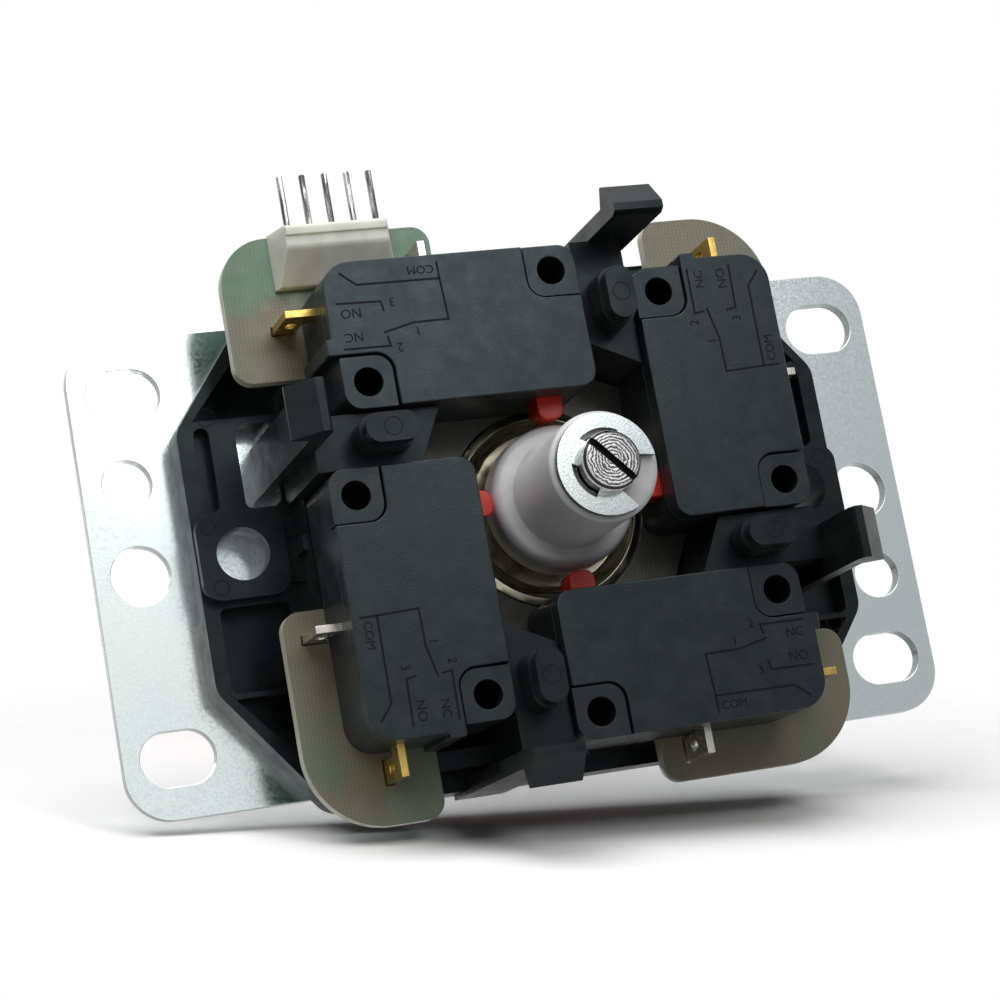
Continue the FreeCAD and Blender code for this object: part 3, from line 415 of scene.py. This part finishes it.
def smooth_plastic(name, color, rough, coat=0.0):
    """Moulded plastic with a faint change of tone, lacquered where it has a coat."""
    paint = Paint(name, Coat_Weight=coat, Coat_Roughness=0.08)
    faint = paint.span(paint.noise(2.5, 4), 0.35, 0.65)
    paint.set(
        Base_Color=paint.mix(faint, color, scaled(color, 0.88)),
        Roughness=paint.span(paint.noise(1.6, 3), 0.3, 0.7, rough * 0.85, rough * 1.2),
        Normal=paint.bump(paint.noise(1.1, 2), 0.008, 0.4),
    )
    return paint.material


def painted_shade_dark(name, color, rough):
    """Painted shade for an engraved line or a hollow."""
    paint = Paint(name, Specular_IOR_Level=0.12)
    paint.set(
        Base_Color=paint.mix(paint.span(paint.noise(0.8, 3), 0.3, 0.7), color, scaled(color, 0.6)),
        Roughness=paint.span(paint.noise(1.0, 3), 0.3, 0.7, rough, rough + 0.1),
    )
    return paint.material


# Shapes

def dress(name, material, width=0.12, segments=2):
    """Gives a CAD node its material, flat faces that shade flat, and soft edges."""
    node = nodes[name]
    node.data.materials.clear()
    node.data.materials.append(material)
    for polygon in node.data.polygons:
        polygon.use_smooth = True
    weld = node.modifiers.new("Weld", "WELD")
    weld.merge_threshold = WELD_REACH
    merge = node.modifiers.new("Merge", "DECIMATE")
    merge.decimate_type = "DISSOLVE"
    merge.angle_limit = FLAT_WITHIN
    if width:
        bevel = node.modifiers.new("Edges", "BEVEL")
        bevel.width = width * MM
        bevel.segments = segments
        bevel.limit_method = "ANGLE"
        bevel.angle_limit = SHARP_FROM
    flat = node.modifiers.new("Flat", "WEIGHTED_NORMAL")
    flat.weight = 100


def piece(name, mesh, body, material):
    """A piece of the scene's own that moves with a body."""
    made = bpy.data.objects.new(name, mesh)
    bpy.context.scene.collection.objects.link(made)
    mesh.materials.clear()
    mesh.materials.append(material)
    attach(made, body)


def turn_of(side):
    """The turn from the front switch to that side's."""
    return Matrix.Rotation(math.radians(SIDES[side]), 4, "Z")


def join_loops(shape, first, second):
    """Faces between two loops with as many corners."""
    count = len(first)
    for k in range(count):
        shape.faces.new((first[k], first[(k + 1) % count], second[(k + 1) % count], second[k]))


def close_ends(shape, loops):
    shape.faces.new(loops[0][::-1])
    shape.faces.new(loops[-1])


def ribbon(shape, points, width, level, height, closed=False):
    """A thin raised line along points, in millimetres, from the level towards negative Z."""
    count = len(points)
    ends = []
    for k, point in enumerate(points):
        here = Vector(point)
        ways = []
        if closed or k > 0:
            ways.append((here - Vector(points[k - 1])).normalized())
        if closed or k < count - 1:
            ways.append((Vector(points[(k + 1) % count]) - here).normalized())
        way = sum(ways, Vector((0, 0))).normalized()
        out = Vector((-way.y, way.x)) * width / 2 / max(MITRE_LEAST, way.dot(ways[0]))
        low, high = level * MM, (level - height) * MM
        ends.append([shape.verts.new(((here + sign * out).x * MM, (here + sign * out).y * MM, z))
                     for sign, z in ((1, low), (1, high), (-1, high), (-1, low))])
    for k in range(count if closed else count - 1):
        join_loops(shape, ends[k], ends[(k + 1) % count])
    if not closed:
        close_ends(shape, ends)


def circle(x, y, radius):
    turns = (2 * math.pi * k / MARK_SIDES for k in range(MARK_SIDES))
    return [(x + radius * math.cos(turn), y + radius * math.sin(turn)) for turn in turns]


def finished(shape, name, turn=None):
    """The shape as a mesh, with its faces outwards."""
    if turn:
        shape.transform(turn)
    bmesh.ops.recalc_face_normals(shape, faces=shape.faces)
    mesh = bpy.data.meshes.new(name)
    shape.to_mesh(mesh)
    shape.free()
    return mesh


def label_mesh(words, size):
    """Letters as a mesh, as deep as a line of the diagram."""
    curve = bpy.data.curves.new(f"label_{words}", "FONT")
    curve.body = words
    curve.size = size * MM
    curve.align_x, curve.align_y = "CENTER", "CENTER"
    curve.extrude = LINE_HIGH / 2 * MM
    curve.resolution_u = 3
    text = bpy.data.objects.new("label", curve)
    bpy.context.scene.collection.objects.link(text)
    bpy.context.view_layer.update()
    mesh = bpy.data.meshes.new_from_object(text)
    bpy.data.objects.remove(text)
    return mesh


def engrave_switch(side, dark):
    """The contact diagram and its labels on a switch's cover, as thin lines dark with painted shade."""
    shape = bmesh.new()
    for line in DIAGRAM:
        ribbon(shape, line, LINE_WIDE, COVER_FACE, LINE_HIGH)
    piece(f"{side}_switch_diagram", finished(shape, "diagram", turn_of(side)), "base", dark)
    face_down = Matrix.Diagonal((-1, 1, -1, 1))
    for k, (words, (x, y), size) in enumerate(LABELS):
        mesh = label_mesh(words, size)
        place = Matrix.Translation((x * MM, y * MM, (COVER_FACE - LINE_HIGH / 2) * MM))
        mesh.transform(turn_of(side) @ place @ face_down)
        piece(f"{side}_switch_label_{k}", mesh, "base", dark)


def mould_marks(dark):
    """The round marks that the ejector pins leave on the ears, the rim and the posts, dark with painted
    shade.
    """
    shape = bmesh.new()
    ear = EAR_MARKS, EAR_MARK_RADIUS, EAR_FACE
    rim = RIM_MARKS, RIM_MARK_RADIUS, RIM_FACE
    for marks, radius, level in (ear, rim):
        for sign in (-1, 1):
            for x, y in marks:
                ribbon(shape, circle(sign * x, sign * y, radius), MARK_WIDE, level, MARK_HIGH, closed=True)
    piece("ejector_marks", finished(shape, "marks"), "base", dark)
    for side in SIDES:
        shape = bmesh.new()
        ring = circle(*POST_MARK, POST_MARK_RADIUS)
        ribbon(shape, ring, MARK_WIDE, TOWER_FACE - POST_RISE, MARK_HIGH, closed=True)
        piece(f"{side}_post_mark", finished(shape, "mark", turn_of(side)), "base", dark)


def return_coil(material):
    """The spring as a smooth coil between its seat and the actuator."""
    low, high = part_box("return_spring")
    wire = COIL_WIRE_RADIUS
    radius = high.x / MM - wire
    seat, far = high.z / MM - COIL_SEAT_GAP - wire, low.z / MM + COIL_FAR_GAP + wire
    shape = bmesh.new()
    loops = []
    for k in range(COIL_STEPS + 1):
        angle = COIL_START + 2 * math.pi * COIL_TURNS * k / COIL_STEPS
        out = Vector((math.cos(angle), math.sin(angle), 0))
        middle = radius * out + Vector((0, 0, seat + (far - seat) * k / COIL_STEPS))
        loops.append([
            shape.verts.new((middle + wire * (out * math.cos(turn) + Vector((0, 0, math.sin(turn))))) * MM)
            for turn in (2 * math.pi * m / COIL_SIDES for m in range(COIL_SIDES))
        ])
    for first, second in zip(loops, loops[1:]):
        join_loops(shape, first, second)
    close_ends(shape, loops)
    mesh = finished(shape, "coil")
    mesh.materials.append(material)
    for polygon in mesh.polygons:
        polygon.use_smooth = True
    made = bpy.data.objects.new("return_coil", mesh)
    bpy.context.scene.collection.objects.link(made)
    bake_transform(made)
    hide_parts("return_spring")


def screw_crosses(dark):
    """The cross recesses of the four plate screws, on the panel side, as thin dark crosses of painted
    shade.
    """
    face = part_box("plate_screws")[1].z
    x, y = (MM * distance for distance in SCREW_PLACE)
    for k, (side_x, side_y) in enumerate(((-1, -1), (-1, 1), (1, -1), (1, 1))):
        shape = bmesh.new()
        for wide, tall in ((CROSS_LONG, CROSS_WIDE), (CROSS_WIDE, CROSS_LONG)):
            box = bmesh.ops.create_cube(shape, size=1.0)
            bmesh.ops.scale(shape, vec=(wide * MM, tall * MM, CROSS_HIGH * MM), verts=box["verts"])
            bmesh.ops.translate(shape, vec=(side_x * x, side_y * y, face), verts=box["verts"])
        piece(f"screw_cross_{k}", finished(shape, "cross"), "base", dark)


def dress_nodes():
    plate = zinc("zinc_plate", 0.25, 0.84)
    ring_zinc = zinc("zinc_ring", 0.16, 0.60)
    steel = shaft_steel()
    seat = pressed_steel()
    gold = plain_metal("gold_blade", (0.60, 0.43, 0.12), 0.24, 0.38)
    tin = plain_metal("tinned", (0.60, 0.59, 0.54), 0.2, 0.36)
    pins = pin_metal()
    brass = plain_metal("brass", (0.66, 0.50, 0.24), 0.2, 0.34)
    switch = switch_plastic()
    base = base_plastic()
    board = fibreglass()
    header = milky_plastic("header_nylon", (0.90, 0.90, 0.80), 1.4, 0.36)
    nylon = milky_plastic("actuator_nylon", (0.78, 0.78, 0.79), 2.4, 0.34)
    red = smooth_plastic("plunger_red", (0.60, 0.016, 0.006), 0.42)
    black = smooth_plastic("pivot_acetal", (0.03, 0.03, 0.033), 0.3)
    knob = smooth_plastic("ball_red", (0.50, 0.008, 0.012), 0.12, coat=0.6)
    # Painted shade for the diagram lines, labels, ejector marks and cross recesses
    groove = painted_shade_dark("engraved", (0.006, 0.006, 0.007), 0.5)
    dress("mounting_plate", plate, 0.1)
    dress("plate_screws", ring_zinc, 0.1)
    dress("base_body", base, 0.18)
    dress("circuit_board", board, 0.06)
    dress("connector_housing", header)
    dress("connector_pins", pins, 0.2, 3)
    dress("spring_seat", seat, 0.05)
    dress("e_ring", ring_zinc, 0.08)
    dress("lever_shaft", steel, 0.06)
    dress("pivot_ball", black, 0.1)
    dress("actuator", nylon, 0.15, 3)
    dress("ball_top", knob, 0)
    dress("ball_insert", brass, 0.1)
    for side in SIDES:
        dress(f"{side}_switch_case", switch)
        dress(f"{side}_switch_cover", switch, 0.16, 3)
        dress(f"{side}_switch_plunger", red, 0.2, 3)
        dress(f"{side}_switch_no_terminal", gold, 0.06)
        dress(f"{side}_switch_com_terminal", tin, 0.06)
        engrave_switch(side, groove)
    mould_marks(groove)
    return_coil(tin)
    screw_crosses(groove)


# Stage

def either(tree, *flags):
    """One where any of the flags is one."""
    value = flags[0]
    for flag in flags[1:]:
        most = tree.nodes.new("ShaderNodeMath")
        most.operation = "MAXIMUM"
        tree.links.new(value, most.inputs[0])
        tree.links.new(flag, most.inputs[1])
        value = most.outputs[0]
    return value


def seen_by_eye(tree):
    """One for the rays of the camera, of gloss and of clear plastic."""
    path = tree.nodes.new("ShaderNodeLightPath")
    return either(tree, *(path.outputs[f"Is {kind} Ray"] for kind in ("Camera", "Glossy", "Transmission")))


def bare_material(name):
    material = bpy.data.materials.new(name)
    material.use_nodes = True
    material.node_tree.nodes.clear()
    return material


def show_but(tree, surface, *absent):
    """Makes it the material's surface, clear where any of the flags is one."""
    both = tree.nodes.new("ShaderNodeMixShader")
    clear = tree.nodes.new("ShaderNodeBsdfTransparent")
    output = tree.nodes.new("ShaderNodeOutputMaterial")
    tree.links.new(either(tree, *absent), both.inputs[0])
    tree.links.new(surface.outputs[0], both.inputs[1])
    tree.links.new(clear.outputs[0], both.inputs[2])
    tree.links.new(both.outputs[0], output.inputs["Surface"])


def paper(name, seen, felt, middle, fade):
    """Matt paper with one brightness for the eye and one for the light that it gives back. It is there
    for what looks at its front, lets lamps through and fades with the distance from a middle."""
    material = bare_material(name)
    tree = material.node_tree
    make, link = tree.nodes.new, tree.links.new
    shade = make("ShaderNodeMix")
    shade.data_type = "RGBA"
    share, dark, light = (shade.inputs[index] for index in MIX_INPUTS)
    dark.default_value = (felt, felt, felt, 1)
    light.default_value = (seen, seen, seen, 1)
    link(seen_by_eye(tree), share)
    paint = make("ShaderNodeBsdfDiffuse")
    link(shade.outputs[MIX_RESULT], paint.inputs["Color"])
    path, geometry = make("ShaderNodeLightPath"), make("ShaderNodeNewGeometry")
    away, edge = make("ShaderNodeVectorMath"), make("ShaderNodeMapRange")
    away.operation = "DISTANCE"
    away.inputs[1].default_value = middle
    link(geometry.outputs["Position"], away.inputs[0])
    link(away.outputs["Value"], edge.inputs["Value"])
    edge.interpolation_type = "SMOOTHSTEP"
    edge.inputs["From Min"].default_value, edge.inputs["From Max"].default_value = fade
    behind, shadow = geometry.outputs["Backfacing"], path.outputs["Is Shadow Ray"]
    show_but(tree, paint, behind, shadow, edge.outputs["Result"])
    return material


def dark_card(name, level):
    """A dull card that only gloss sees, and only from its front."""
    material = bare_material(name)
    tree = material.node_tree
    dull = tree.nodes.new("ShaderNodeEmission")
    dull.inputs["Color"].default_value = (level, level, 1.03 * level, 1)
    path, geometry = tree.nodes.new("ShaderNodeLightPath"), tree.nodes.new("ShaderNodeNewGeometry")
    hidden = tree.nodes.new("ShaderNodeMath")
    hidden.operation = "SUBTRACT"
    hidden.inputs[0].default_value = 1
    tree.links.new(path.outputs["Is Glossy Ray"], hidden.inputs[1])
    show_but(tree, dull, hidden.outputs[0], geometry.outputs["Backfacing"])
    return material


def make_world():
    """White for the eye, and a faint cool light from all round for everything else."""
    world = bpy.data.worlds.new("studio")
    bpy.context.scene.world = world
    world.use_nodes = True
    tree = world.node_tree
    white, soft = tree.nodes["Background"], tree.nodes.new("ShaderNodeBackground")
    white.inputs["Color"].default_value = (1, 1, 1, 1)
    soft.inputs["Color"].default_value = (0.95, 0.98, 1.0, 1)
    soft.inputs["Strength"].default_value = AMBIENT
    choose = tree.nodes.new("ShaderNodeMixShader")
    tree.links.new(seen_by_eye(tree), choose.inputs[0])
    tree.links.new(soft.outputs[0], choose.inputs[1])
    tree.links.new(white.outputs[0], choose.inputs[2])
    tree.links.new(choose.outputs[0], tree.nodes["World Output"].inputs["Surface"])


def sheet_of(name, middle, normal, half, material):
    """A square sheet that faces along the normal."""
    turn = Vector(normal).to_track_quat("Z", "Y").to_matrix()
    signs = ((-1, -1), (1, -1), (1, 1), (-1, 1))
    corners = [Vector(middle) + turn @ Vector((half * x, half * y, 0)) for x, y in signs]
    mesh = bpy.data.meshes.new(name)
    mesh.from_pydata(corners, [], [(0, 1, 2, 3)])
    mesh.materials.append(material)
    made = bpy.data.objects.new(name, mesh)
    bpy.context.scene.collection.objects.link(made)


def make_table():
    """The table under the ball. It fades round a place in front of the ball, where the shadow lies."""
    low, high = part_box("ball_top")
    ball_radius = (high.x - low.x) / 2
    middle = Vector((0, 0, high.z - ball_radius)) - TABLE_UP * (ball_radius + TABLE_GAP)
    shaded = middle - Vector((0, 0, SHADE_FORWARD))
    material = paper("table", TABLE_SEEN, TABLE_FELT, shaded, TABLE_FADE)
    sheet_of("table", middle, TABLE_UP, TABLE_HALF, material)


def lamp(name, place, target, size, watts):
    data = bpy.data.lights.new(name, "AREA")
    data.shape = "RECTANGLE"
    data.size, data.size_y = size
    data.energy = watts
    made = bpy.data.objects.new(name, data)
    made.location = place
    made.rotation_mode = "QUATERNION"
    made.rotation_quaternion = (Vector(target) - Vector(place)).to_track_quat("-Z", "Y")
    made.visible_camera = False
    bpy.context.scene.collection.objects.link(made)


def make_camera():
    """The photograph's viewpoint."""
    data = bpy.data.cameras.new("camera")
    data.sensor_width = SENSOR_WIDTH
    data.lens = CAMERA_LENS
    data.clip_start, data.clip_end = 0.01, 10
    made = bpy.data.objects.new("camera", data)
    forward = Vector(CAMERA_AHEAD).normalized()
    right = forward.cross(Vector(CAMERA_UP)).normalized()
    turn = Matrix((right, right.cross(forward), -forward)).transposed()
    made.matrix_world = Matrix.Translation(CAMERA_PLACE) @ turn.to_4x4()
    bpy.context.scene.collection.objects.link(made)
    bpy.context.scene.camera = made


dress_nodes()
make_world()
make_table()
sheet_of("card", CARD_PLACE, (0, 0, 1), CARD_HALF, dark_card("card", CARD_LEVEL))
for settings in LAMPS:
    lamp(*settings)
make_camera()

bpy.context.scene.view_settings.view_transform = "Standard"
